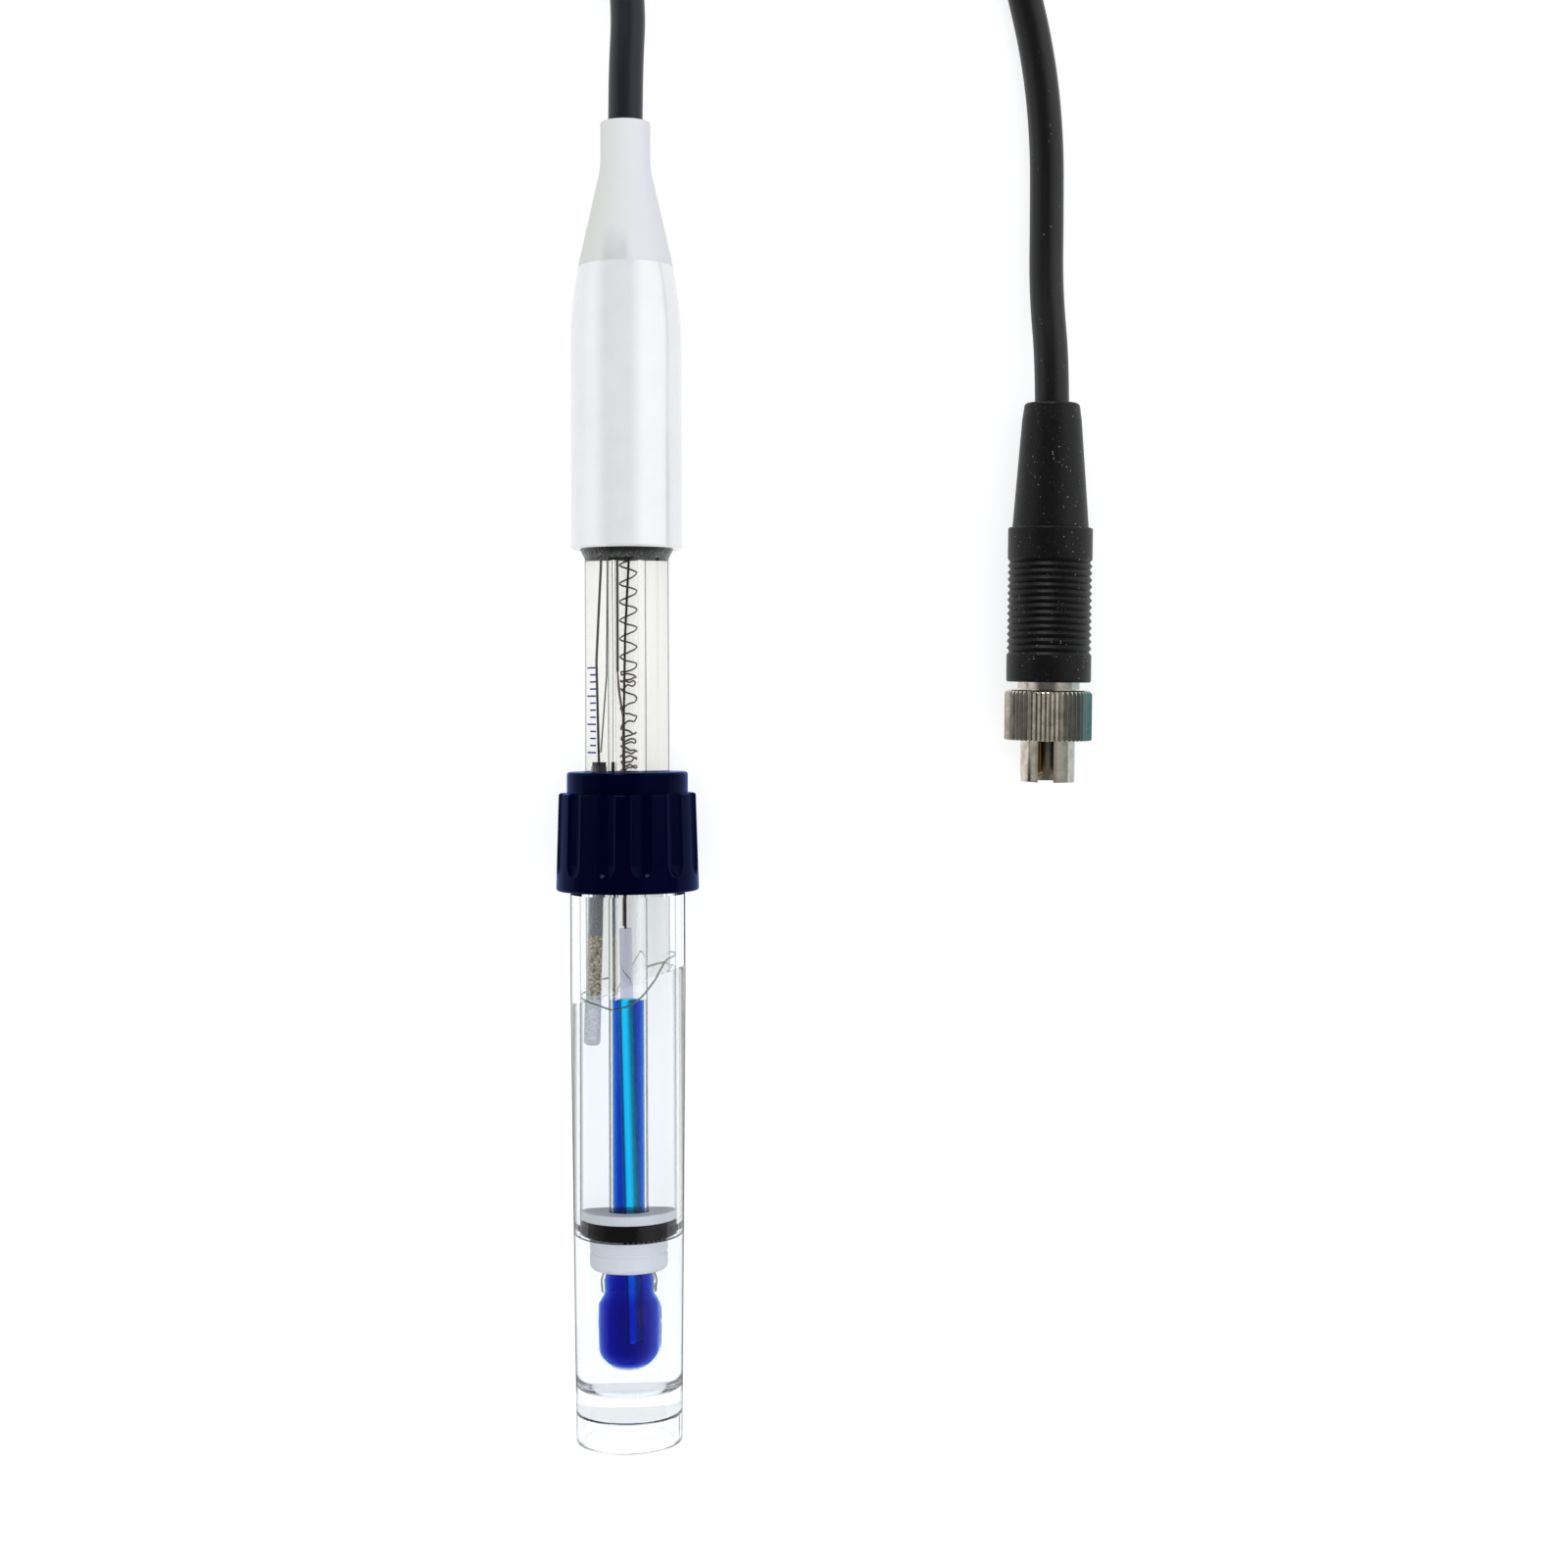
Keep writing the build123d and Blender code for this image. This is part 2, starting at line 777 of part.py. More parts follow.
def contact_sleeve():
    """The slotted metal sleeve round the pins."""
    high = sleeve_root()
    low = high - contact_sleeve_length
    bore = contact_sleeve_radius - contact_sleeve_wall
    tube = turned(
        (bore, high),
        (contact_sleeve_radius, high),
        (contact_sleeve_radius, low, contact_sleeve_edge),
        (bore, low, contact_sleeve_edge),
    )
    slot = Pos(0, -contact_sleeve_radius, low + contact_slot_length / 2) * Box(
        contact_slot_width, contact_sleeve_radius, contact_slot_length
    )
    return tube - Rot(0, 0, contact_slot_angle) * slot


def pin_places():
    """The pins' places round the plug's axis."""
    return [Rot(0, 0, (turn + 0.5) * 360 / pin_count) * Pos(pin_circle, 0, 0) for turn in range(pin_count)]


def contact_insulator():
    """The moulded disc that holds the pins in the sleeve."""
    radius = contact_sleeve_radius - contact_sleeve_wall
    high = sleeve_root()
    disc = filling(radius, high, high - insulator_height)
    hole = Pos(0, 0, high - insulator_height / 2) * Cylinder(pin_radius + pin_clearance, insulator_height)
    return disc - [place * hole for place in pin_places()]


def contact_pins():
    """The gold-plated pins, with rounded ends."""
    high = sleeve_root()
    low = high - contact_sleeve_length + pin_recess
    pin = turned((0, high), (pin_radius, high), (pin_radius, low, 0.8 * pin_radius), (0, low))
    return [place * pin for place in pin_places()]


def laid_down(x, y, yaw_deg, fat_radius, fat_level, slim_radius, slim_level):
    """The place of an upright axis laid on the floor, where it rests on a fat ring and on a slimmer one."""
    lean = math.atan2(fat_radius - slim_radius, slim_level - fat_level)
    yaw = math.radians(yaw_deg)
    height = fat_radius * math.cos(lean) + fat_level * math.sin(lean)
    along = (math.sin(yaw) * math.cos(lean), math.cos(yaw) * math.cos(lean), -math.sin(lean))
    across = (math.cos(yaw), -math.sin(yaw), 0)
    return Plane(origin=(x, y, height), x_dir=across, z_dir=along).location


def electrode_place():
    """The electrode rests on its storage cap's rim and its head, with the middle of its length at y = 0."""
    rim = (cap_rim_radius, cap_edge - cap_bottom)
    head = (head_radius, head_straight)
    lean = math.atan2(rim[0] - head[0], head[1] - rim[1])
    up = (head_length + boot_length) * math.cos(lean) + boot_tip_radius * math.sin(lean)
    down = vial_end * math.cos(lean) + vial_foot_radius * math.sin(lean)
    return laid_down(0, (down - up) / 2, 0, *rim, *head)


def plug_place():
    """The plug rests on its nut and on its shell's upper end."""
    nut_end = -plug_flange_height - nut_gap - nut_length
    return laid_down(plug_x, plug_y, plug_yaw_deg, nut_radius, nut_end, shell_radius, shell_length)


def spot(place, level):
    """The point at a level of a laid-down axis."""
    return tuple((place * Pos(0, 0, level)).position)


def lead_route():
    """The cable from its socket in the boot, down to the floor and into the coil."""
    boot_top = head_length + boot_length
    return [
        spot(electrode_place(), boot_top - cable_in_boot),
        spot(electrode_place(), boot_top + 6.3),
        (0.6, 112.5, 5.2),
        (-1.6, 124.0, 3.4),
        (-6.8, 133.5, 2.6),
        (-13.5, 141.3, 2.5),
        (-19.4, 147.8, 2.5),
    ]


def tail_route():
    """The cable from the top of the coil, down to the floor and into the plug's boot."""
    boot_top = shell_length + plug_boot_length
    return [
        (38.1, 177.9, 7.6),
        (42.8, 165.3, 7.6),
        (47.0, 152.7, 6.9),
        (50.8, 140.0, 4.9),
        (54.4, 127.5, 3.2),
        (57.7, 115.5, 2.5),
        (60.2, 104.0, 2.5),
        (61.3, 92.5, 2.5),
        (61.2, 81.0, 2.6),
        (60.9, 70.0, 3.6),
        spot(plug_place(), boot_top + 5.2),
        spot(plug_place(), boot_top - cable_in_boot + 0.5),
    ]


def cable_tube(route, name):
    """A cable of straight runs joined by arcs as large as their runs allow."""
    points = [Vector(*point) for point in route]
    runs = [b - a for a, b in zip(points, points[1:])]
    radii = []
    for one, two in zip(runs, runs[1:]):
        half_turn = math.radians(one.get_angle(two)) / 2
        radii.append(0.45 * min(one.length, two.length) / math.tan(half_turn))
    path = FilletPolyline(*route, radius=radii)
    tube = sweep(Plane(origin=path @ 0, z_dir=path % 0) * Circle(cable_radius), path)
    expected = math.pi * cable_radius**2 * path.length
    print(name, "radii", [round(r) for r in radii], "length", round(path.length, 1))
    print(name, "volume", round(tube.volume, 1), "from section and length", round(expected, 1))
    return tube


def cable_coil():
    """The outer shape of the coil that the rest of the cable is wound into."""
    ring = turned(
        (coil_inner_radius, 0, coil_rounding),
        (coil_outer_radius, 0, coil_rounding),
        (coil_outer_radius, coil_height, coil_rounding),
        (coil_inner_radius, coil_height, coil_rounding),
    )
    return Pos(coil_centre_x, coil_centre_y, 0) * ring


electrode_parts = {
    "head_cap": head_cap,
    "potting": potting,
    "cable_boot": cable_boot,
    "head_seal": head_seal,
    "shaft_tube": shaft_tube,
    "stem_tube": stem_tube,
    "membrane_bulb": membrane_bulb,
    "blue_gel": blue_gel,
    "inner_rod": inner_rod,
    "lead_coil": lead_coil,
    "lead_sleeve": lead_sleeve,
    "centre_lead": centre_lead,
    "sensor_leads": sensor_leads,
    "reference_gel": reference_gel,
    "cartridge_tube": cartridge_tube,
    "cartridge_seal": cartridge_seal,
    "cartridge_packing": cartridge_packing,
    "cartridge_granules": cartridge_granules,
    "cartridge_plug": cartridge_plug,
    "reference_lead": reference_lead,
    "silver_wire": silver_wire,
    "upper_junction_ring": upper_junction_ring,
    "junction_o_ring": junction_o_ring,
    "lower_junction_ring": lower_junction_ring,
    "storage_cap": storage_cap,
    "cap_seal_ring": cap_seal_ring,
    "vial_washer": vial_washer,
    "storage_vial": storage_vial,
    "storage_solution": storage_solution,
}

plug_parts = {
    "plug_boot": plug_boot,
    "plug_shell": plug_shell,
    "plug_body": plug_body,
    "coupling_nut": coupling_nut,
    "contact_sleeve": contact_sleeve,
    "contact_insulator": contact_insulator,
    "contact_pins": contact_pins,
}


def placed(piece, place):
    """A piece, or a list of like pieces as one group, at its place."""
    if isinstance(piece, list):
        return Compound(children=[place * one for one in piece])
    return place * piece


def build():
    """Every named piece at its place."""
    pieces = {name: placed(make(), electrode_place()) for name, make in electrode_parts.items()}
    pieces.update({name: placed(make(), plug_place()) for name, make in plug_parts.items()})
    pieces["cable_lead"] = cable_tube(lead_route(), "cable_lead")
    pieces["cable_tail"] = cable_tube(tail_route(), "cable_tail")
    pieces["cable_coil"] = cable_coil()
    return pieces


os.makedirs("parts", exist_ok=True)
for name, piece in build().items():
    export_step(piece, f"parts/{name}.step")
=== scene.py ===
"""The looks of a pH electrode that lies in its storage vial, with its cable and its plug, on a pale floor.

The electrode and the plug each have an axis of their own. Sizes along and across an axis are in
millimetres, as the part gives them: on the electrode z = 0 is the head's lower edge, +z runs to the cable
and -y faces up.
"""
import math
import random

import bpy
from mathutils import Matrix, Vector


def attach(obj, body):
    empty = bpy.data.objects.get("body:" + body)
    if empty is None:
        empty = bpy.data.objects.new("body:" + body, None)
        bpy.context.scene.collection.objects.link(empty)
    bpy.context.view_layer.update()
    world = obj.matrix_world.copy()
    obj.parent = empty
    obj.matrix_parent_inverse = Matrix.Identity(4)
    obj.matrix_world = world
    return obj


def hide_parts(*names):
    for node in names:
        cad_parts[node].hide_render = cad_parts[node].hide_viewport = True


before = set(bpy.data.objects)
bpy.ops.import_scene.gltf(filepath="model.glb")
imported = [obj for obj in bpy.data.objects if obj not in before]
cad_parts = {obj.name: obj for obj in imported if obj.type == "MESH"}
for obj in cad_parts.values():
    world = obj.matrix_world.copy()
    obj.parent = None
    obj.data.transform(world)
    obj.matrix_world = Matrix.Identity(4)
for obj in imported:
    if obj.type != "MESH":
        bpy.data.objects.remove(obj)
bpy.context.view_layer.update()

MM = 0.001

# The electrode's axis, as the part lays it down
head_radius, head_straight = 8.0, 29.0
boot_top, boot_tip_radius = 61.5, 3.6
cap_rim_radius, cap_rim_level = 10.2, -48.3
vial_end, vial_foot_radius = 126.5, 7.5

# The plug's axis
plug_x, plug_y, plug_yaw_deg = 60.7, 13.2, 1.1
nut_radius, nut_end = 6.3, -8.4
shell_radius, shell_length = 6.1, 22.3
plug_boot_top = 40.3

# Glass, gel and liquid
shaft_radius, shaft_wall = 6.0, 0.85
stem_radius, stem_wall = 2.05, 0.35
blue_level = 64.0
rod_top, rod_tip, rod_top_x, rod_tip_x = 54.0, 112.3, -0.35, 0.6
vial_bore, vial_floor, into_vial_wall, into_vial_floor = 6.9, 119.0, 0.15, 0.5
liquid_level, liquid_slope_deg = 62.0, 21.0
glass_index, plastic_index, gel_index, liquid_index = 1.52, 1.50, 1.34, 1.33
blue_gel_colour, blue_gel_density = (0.0, 0.655, 0.922, 1), 3500.0
deepest_path = 40

# Tones of clear walls seen square-on, painted shade for where they are seen edge-on in place of the dark
# surroundings that they bend there, and the tints of their thickness, a share a millimetre
shaft_edge_shade, inner_edge_shade, stem_edge_shade, shaft_middle = "8c8e88", "6e706a", "6e706a", "fafaf8"
vial_edge_shade, vial_floor_edge_shade, foot_edge_shade, vial_middle = "7e8270", "38474a", "c9d0ce", "fdfeff"
shaft_tint, stem_tint = 0.04, 0.05

# The rod in the gel: painted light brightens the left half and painted shade darkens the right half, for
# the light it gathers and sheds, and a painted dark line of shade is on the left
rod_halves, rod_shade_line_x, rod_shade_line_reach = (-0.05, 0.4), -0.62, (0.08, 0.2)
rod_painted_light, rod_painted_shade, rod_shade_line = (1.0, 1.95, 1.25, 1.0), (1.0, 0.9, 0.62, 1.0), (0.7, 0.75, 0.6, 1.0)

# The darker core low in the cable's boot, and where the cable's jacket turns from bluish to dusty
boot_core_levels, boot_core_x, boot_core_reach = (41.4, 46.0), -1.1, (1.3, 2.2)
jacket_change_x = (10.0, 45.0)

# Light: the soft light is the world's for matt surfaces, and gloss and glass see rooms of their own
soft_light = 0.93
left_panel, left_panel_edge = 1.3, (-0.9, -0.66)
right_panel, right_panel_edge = 1.45, (0.25, 0.62)
room_light = 0.16
panel_share_behind, panel_turn = 0.2, (-0.02, 0.06)
glint_direction, glint_light, glint_edge = (-0.2, 0.87, 0.45), 14.0, (0.975, 0.99)
glass_surround = 0.14
lamp_aim, lamp_length = (0, 0, 0), 1.2
right_lamp_place, right_lamp_width, right_lamp_watts = (0.75, 0.0, 0.45), 0.5, 1.7
left_lamp_place, left_lamp_width, left_lamp_watts = (-0.7, 0.0, 0.38), 0.3, 0.7

# The floor, in metres: glass sees it white in a strip under the electrode, up to the strip's end
floor_half, floor_glow = 3.0, 0.66
floor_strip, floor_strip_end = (0.0095, 0.015), (-0.108, -0.097)
floor_glass_share, floor_far_share = 1.16, 0.28

# The camera looks straight down, in metres
camera_place, camera_roll_deg = (0.0225, 0.0185, 0.354), -0.3
camera_lens, camera_sensor, camera_shift_y = 55.24, 36.0, -0.0875

# Cable
cable_radius, cable_in_boot, cable_in_plug = 2.5, 5.0, 4.5


def electrode_frame():
    """The matrix from the electrode's own millimetres to the world, from the two rings that it rests on."""
    lean = math.atan2(cap_rim_radius - head_radius, head_straight - cap_rim_level)
    up = boot_top * math.cos(lean) + boot_tip_radius * math.sin(lean)
    down = vial_end * math.cos(lean) + vial_foot_radius * math.sin(lean)
    height = cap_rim_radius * math.cos(lean) + cap_rim_level * math.sin(lean)
    return laid_down(0, (down - up) / 2, height, 0, lean)


def plug_frame():
    """The matrix from the plug's own millimetres to the world."""
    lean = math.atan2(nut_radius - shell_radius, shell_length - nut_end)
    height = nut_radius * math.cos(lean) + nut_end * math.sin(lean)
    return laid_down(plug_x, plug_y, height, math.radians(plug_yaw_deg), lean)


def laid_down(x, y, height, yaw, lean):
    """An upright axis laid along +Y, turned by yaw and with its upper end lowered by lean."""
    across = Vector((math.cos(yaw), -math.sin(yaw), 0))
    along = Vector((math.sin(yaw) * math.cos(lean), math.cos(yaw) * math.cos(lean), -math.sin(lean)))
    below = along.cross(across)
    turn = Matrix((across, below, along)).transposed().to_4x4()
    return Matrix.Translation(Vector((x, y, height)) * MM) @ turn @ Matrix.Scale(MM, 4)


on_electrode = electrode_frame()
on_plug = plug_frame()


def node(name):
    """A carried-over piece of the part."""
    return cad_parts[name]


def tone(code):
    """A colour written as six hex digits, as linear red, green, blue and a full alpha."""
    parts = [int(code[place:place + 2], 16) / 255 for place in (0, 2, 4)]
    linear = [part / 12.92 if part <= 0.04045 else ((part + 0.055) / 1.055) ** 2.4 for part in parts]
    return (*linear, 1)


class Look:
    """A material's node tree, with short calls for the nodes used here."""

    def __init__(self, name, world=None):
        self.material = world or bpy.data.materials.new(name)
        self.material.use_nodes = True
        self.tree = self.material.node_tree
        self.tree.nodes.clear()
        self.output = self.add("ShaderNodeOutputWorld" if world else "ShaderNodeOutputMaterial")

    def add(self, kind, settings=None, **inputs):
        """A node with settings and inputs, named with _ for a space: a socket is linked, a value set."""
        made = self.tree.nodes.new(kind)
        for key, value in (settings or {}).items():
            setattr(made, key, value)
        for key, value in inputs.items():
            self.feed(made.inputs[key.replace("_", " ")], value)
        return made

    def feed(self, socket, value):
        """Links a socket, or sets a plain value."""
        if isinstance(value, bpy.types.NodeSocket):
            self.tree.links.new(value, socket)
        else:
            socket.default_value = value

    def surface(self, shader):
        """The material's surface."""
        self.feed(self.output.inputs["Surface"], shader.outputs[0])
        return self.material

    def math(self, operation, *values):
        """One sum of one or two values."""
        made = self.add("ShaderNodeMath", {"operation": operation})
        for socket, value in zip(made.inputs, values):
            self.feed(socket, value)
        return made.outputs[0]

    def place(self, axis_frame):
        """The point in the millimetres of the electrode or the plug, as x, y and z."""
        coordinates = self.add("ShaderNodeTexCoord").outputs["Object"]
        mapping = self.add("ShaderNodeMapping", {"vector_type": "TEXTURE"}, Vector=coordinates)
        mapping.inputs["Location"].default_value = axis_frame.translation
        mapping.inputs["Rotation"].default_value = axis_frame.to_euler()
        mapping.inputs["Scale"].default_value = (MM, MM, MM)
        split = self.add("ShaderNodeSeparateXYZ", Vector=mapping.outputs[0])
        return mapping.outputs[0], *split.outputs[:3]

    def distance(self, x, y):
        """The distance from the axis."""
        return self.math("SQRT", self.math("ADD", self.math("MULTIPLY", x, x), self.math("MULTIPLY", y, y)))

    def noise(self, vector, scale, detail=2.0, roughness=0.5):
        """Plain noise, from 0 to 1."""
        sizes = {"Scale": scale, "Detail": detail, "Roughness": roughness}
        return self.add("ShaderNodeTexNoise", Vector=vector, **sizes).outputs[0]

    def ramp(self, value, low, high, bottom=0.0, top=1.0):
        """A value from low to high becomes one from bottom to top, and stays there beyond."""
        made = self.add("ShaderNodeMapRange", {"clamp": True}, Value=value)
        for socket, number in zip(made.inputs[1:5], (low, high, bottom, top)):
            socket.default_value = number
        return made.outputs[0]

    def mix_colour(self, share, one, two):
        """One colour at share 0 and two at share 1."""
        made = self.add("ShaderNodeMix", {"data_type": "RGBA"})
        self.feed(made.inputs[0], share)
        self.feed(made.inputs[6], one)
        self.feed(made.inputs[7], two)
        return made.outputs[2]

    def mix(self, share, one, two):
        """One shader at share 0 and two at share 1."""
        made = self.add("ShaderNodeMixShader")
        self.feed(made.inputs[0], share)
        self.feed(made.inputs[1], one.outputs[0])
        self.feed(made.inputs[2], two.outputs[0])
        return made

    def bump(self, height, strength, distance_mm):
        """A normal from a height field."""
        made = self.add("ShaderNodeBump", Height=height, Strength=strength, Distance=distance_mm * MM)
        return made.outputs[0]


def glass(look, index, colour=(1, 1, 1, 1)):
    """A clear glass shader of one refractive index."""
    return look.add("ShaderNodeBsdfGlass", Color=colour, Roughness=0.0, IOR=index)


def painted_edge_shade(look, code, low=0.72, high=0.95, middle="ffffff"):
    """A clear wall's colour with painted shade: plain where it is seen square-on, darker where it is seen
    edge-on, in place of the dark surroundings that the wall bends there.
    """
    facing = look.add("ShaderNodeLayerWeight", Blend=0.5).outputs["Facing"]
    return look.mix_colour(look.ramp(facing, low, high), tone(middle), tone(code))


def tinted(look, code, share_a_mm):
    """A faint colour through the thickness of a glass, so that long paths at its edges come out darker."""
    absorb = look.add("ShaderNodeVolumeAbsorption", Color=tone(code), Density=share_a_mm / MM)
    look.feed(look.output.inputs["Volume"], absorb.outputs[0])


def below_liquid(look, x, z):
    """1 below the storage liquid's surface and 0 above it."""
    slope = math.tan(math.radians(liquid_slope_deg))
    surface = look.math("SUBTRACT", look.math("MULTIPLY", x, slope), liquid_level)
    return look.math("LESS_THAN", z, surface)


def white_plastic():
    """Glossy white moulding, a little cloudy."""
    look = Look("white_plastic")
    vector = look.place(on_electrode)[0]
    cloud = look.noise(vector, 0.25)
    colour = look.mix_colour(look.ramp(cloud, 0.35, 0.65), tone("e8e9ec"), tone("ecedf0"))
    ripple = look.bump(look.noise(vector, 0.9), 0.03, 0.1)
    shader = look.add(
        "ShaderNodeBsdfPrincipled",
        Base_Color=colour,
        Roughness=0.35,
        Coat_Weight=1.0,
        Coat_IOR=2.0,
        Coat_Roughness=0.14,
        Normal=ripple,
    )
    return look.surface(shader)


def boot_plastic():
    """Milky flexible plastic, with the darker lead-in of the cable showing low in it, and painted shade
    that makes its -x side a little darker and greener.
    """
    look = Look("boot_plastic")
    vector, x, _, z = look.place(on_electrode)
    low = look.ramp(z, *boot_core_levels, 1.0, 0.0)
    side = look.math("ABSOLUTE", look.math("SUBTRACT", x, boot_core_x))
    middle = look.ramp(side, *boot_core_reach, 1.0, 0.0)
    cloud = look.ramp(look.noise(vector, 0.5), 0.3, 0.7, 0.75, 1.0)
    shade = look.math("MULTIPLY", look.math("MULTIPLY", low, middle), cloud)
    # Painted shade: the -x side a little darker and greener than the +x side.
    green = look.ramp(x, -5.0, 3.0, 0.0, 1.0)
    body = look.mix_colour(green, tone("dfe3db"), tone("e6e6ec"))
    colour = look.mix_colour(shade, body, tone("cdcfd0"))
    shader = look.add(
        "ShaderNodeBsdfPrincipled",
        Base_Color=colour,
        Roughness=0.45,
        Specular_IOR_Level=0.3,
        Subsurface_Weight=0.2,
        Subsurface_Scale=0.001,
    )
    shader.inputs["Subsurface Radius"].default_value = (1.0, 1.0, 0.9)
    return look.surface(shader)


def dark_resin():
    """Cured resin, dark grey-green with pale specks, darker from the head's lower edge on towards the head,
    along an uneven line.
    """
    look = Look("dark_resin")
    vector, _, _, z = look.place(on_electrode)
    speck = look.ramp(look.noise(vector, 2.6, 4.0, 0.7), 0.52, 0.66)
    # Darker from the head's lower edge on, along a noisy line.
    low = look.ramp(look.math("ADD", z, look.noise(vector, 0.6)), -0.5, 0.1, 1.0, 0.0)
    mottled = look.mix_colour(speck, tone("3c3e39"), tone("7c7d76"))
    colour = look.mix_colour(low, tone("191b18"), mottled)
    shader = look.add("ShaderNodeBsdfPrincipled", Base_Color=colour, Roughness=0.25)
    look.feed(shader.inputs["Normal"], look.bump(look.noise(vector, 1.8, 3.0), 0.5, 0.4))
    return look.surface(shader)


def shaft_glass():
    """The outer tube: air or liquid outside, gel inside."""
    look = Look("shaft_glass")
    x, y, z = look.place(on_electrode)[1:]
    inside = look.math("LESS_THAN", look.distance(x, y), shaft_radius - shaft_wall / 2)
    wet = below_liquid(look, x, z)
    dry = glass(look, glass_index)
    # Painted shade: the outer wall darkens where it is seen edge-on.
    look.feed(dry.inputs["Color"], painted_edge_shade(look, shaft_edge_shade, middle=shaft_middle))
    outside = look.mix(wet, dry, glass(look, glass_index / liquid_index))
    tinted(look, "3c4038", shaft_tint)
    inner = glass(look, glass_index / gel_index)
    # Painted shade: the inner wall darkens where it is seen edge-on.
    look.feed(inner.inputs["Color"], painted_edge_shade(look, inner_edge_shade, 0.6, 0.8))
    return look.surface(look.mix(inside, outside, inner))


def stem_glass():
    """The inner tube: gel outside, and air above the blue gel inside."""
    look = Look("stem_glass")
    x, y, z = look.place(on_electrode)[1:]
    bore = look.math("LESS_THAN", look.distance(x, y), stem_radius - stem_wall / 2)
    dry = look.math("GREATER_THAN", z, -blue_level)
    empty = look.math("MULTIPLY", bore, dry)
    filled = glass(look, glass_index / gel_index)
    # Painted shade: the walls darken where they are seen edge-on.
    look.feed(filled.inputs["Color"], painted_edge_shade(look, stem_edge_shade, 0.6, 0.85))
    tinted(look, "3a3e36", stem_tint)
    return look.surface(look.mix(empty, filled, glass(look, glass_index)))


def bulb_glass():
    """The thin membrane between the storage liquid and the blue gel."""
    look = Look("bulb_glass")
    return look.surface(glass(look, glass_index / liquid_index))


def rod_glass():
    """The inner rod, in air above the blue gel; in the gel, painted light and shade across it stand in for
    what it bends.
    """
    look = Look("rod_glass")
    _, x, _, z = look.place(on_electrode)
    dry = look.math("GREATER_THAN", z, -blue_level)
    drift = look.ramp(z, -rod_tip, -rod_top, rod_tip_x, rod_top_x)
    across = look.math("SUBTRACT", x, drift)
    # Painted light on the left half, painted shade on the right half, and a painted dark line of shade.
    halves = look.mix_colour(look.ramp(across, *rod_halves), rod_painted_light, rod_painted_shade)
    beside_line = look.math("ABSOLUTE", look.math("SUBTRACT", across, rod_shade_line_x))
    colour = look.mix_colour(look.ramp(beside_line, *rod_shade_line_reach, 1.0, 0.0), halves, rod_shade_line)
    wet = glass(look, glass_index / gel_index)
    look.feed(wet.inputs["Color"], colour)
    return look.surface(look.mix(dry, wet, glass(look, glass_index, tone("eceaf4"))))


def blue_liquid():
    """The blue gel, which takes red out first, then green."""
    look = Look("blue_liquid")
    clear = look.add("ShaderNodeBsdfTransparent")
    absorb = look.add("ShaderNodeVolumeAbsorption", Color=blue_gel_colour, Density=blue_gel_density)
    look.feed(look.output.inputs["Volume"], absorb.outputs[0])
    return look.surface(clear)


def clear_fill(name):
    """The reference gel or the storage liquid, which shows only by how it wets the walls round it."""
    look = Look(name)
    return look.surface(look.add("ShaderNodeBsdfTransparent"))


def vial_plastic():
    """The clear vial: liquid inside below the surface, air elsewhere."""
    look = Look("vial_plastic")
    x, y, z = look.place(on_electrode)[1:]
    inside = look.math("LESS_THAN", look.distance(x, y), vial_bore + into_vial_wall)
    above_floor = look.math("GREATER_THAN", z, -vial_floor - into_vial_floor)
    wet = look.math("MULTIPLY", look.math("MULTIPLY", inside, above_floor), below_liquid(look, x, z))
    dry_shader = glass(look, plastic_index)
    wet_shader = glass(look, plastic_index / liquid_index)
    # Painted shade: the side, the foot and the wet floor darken where they are seen edge-on.
    side = painted_edge_shade(look, vial_edge_shade, 0.7, 0.9, vial_middle)
    foot = painted_edge_shade(look, foot_edge_shade, 0.7, 0.95, vial_middle)
    look.feed(dry_shader.inputs["Color"], look.mix_colour(above_floor, foot, side))
    look.feed(wet_shader.inputs["Color"], painted_edge_shade(look, vial_floor_edge_shade, 0.75, 0.95, vial_middle))
    seen = look.mix(wet, dry_shader, wet_shader)
    shadow = look.add("ShaderNodeLightPath").outputs["Is Shadow Ray"]
    cast = look.add("ShaderNodeBsdfTransparent", Color=tone("f4f6f4"))
    return look.surface(look.mix(shadow, seen, cast))


def cartridge_glass():
    """The cartridge's thin tube, in gel."""
    look = Look("cartridge_glass")
    return look.surface(glass(look, glass_index / gel_index))


def navy_plastic():
    """Deep navy moulding with a faint bluish gloss."""
    look = Look("navy_plastic")
    vector = look.place(on_electrode)[0]
    scuff = look.ramp(look.noise(vector, 0.6, 3.0), 0.4, 0.75, 0.1, 0.2)
    ripple = look.bump(look.noise(vector, 2.0), 0.05, 0.1)
    navy = tone("01011c")
    body = look.add("ShaderNodeBsdfPrincipled", Base_Color=navy, Specular_IOR_Level=0.0, Normal=ripple)
    gloss = look.add("ShaderNodeBsdfAnisotropic", Color=tone("8ea4ea"), Roughness=scuff, Normal=ripple)
    share = look.add("ShaderNodeFresnel", IOR=1.18).outputs[0]
    return look.surface(look.mix(share, body, gloss))


def dusty(look, vector, base, dust, size, share):
    """Pale specks of dust over a plain colour, thick in some places and thin in others."""
    specks = look.add("ShaderNodeTexVoronoi", Vector=vector, Scale=size)
    close = look.ramp(specks.outputs["Distance"], 0.08, 0.17, 1.0, 0.0)
    pick = look.add("ShaderNodeSeparateColor", Color=specks.outputs["Color"]).outputs[0]
    wanted = look.math("GREATER_THAN", pick, 0.45)
    thick = look.ramp(look.noise(vector, size * 0.2), 0.42, 0.62, 0.15, 1.0)
    shown = look.math("MULTIPLY", look.math("MULTIPLY", close, wanted), look.math("MULTIPLY", thick, share))
    return look.mix_colour(shown, base, tone(dust))


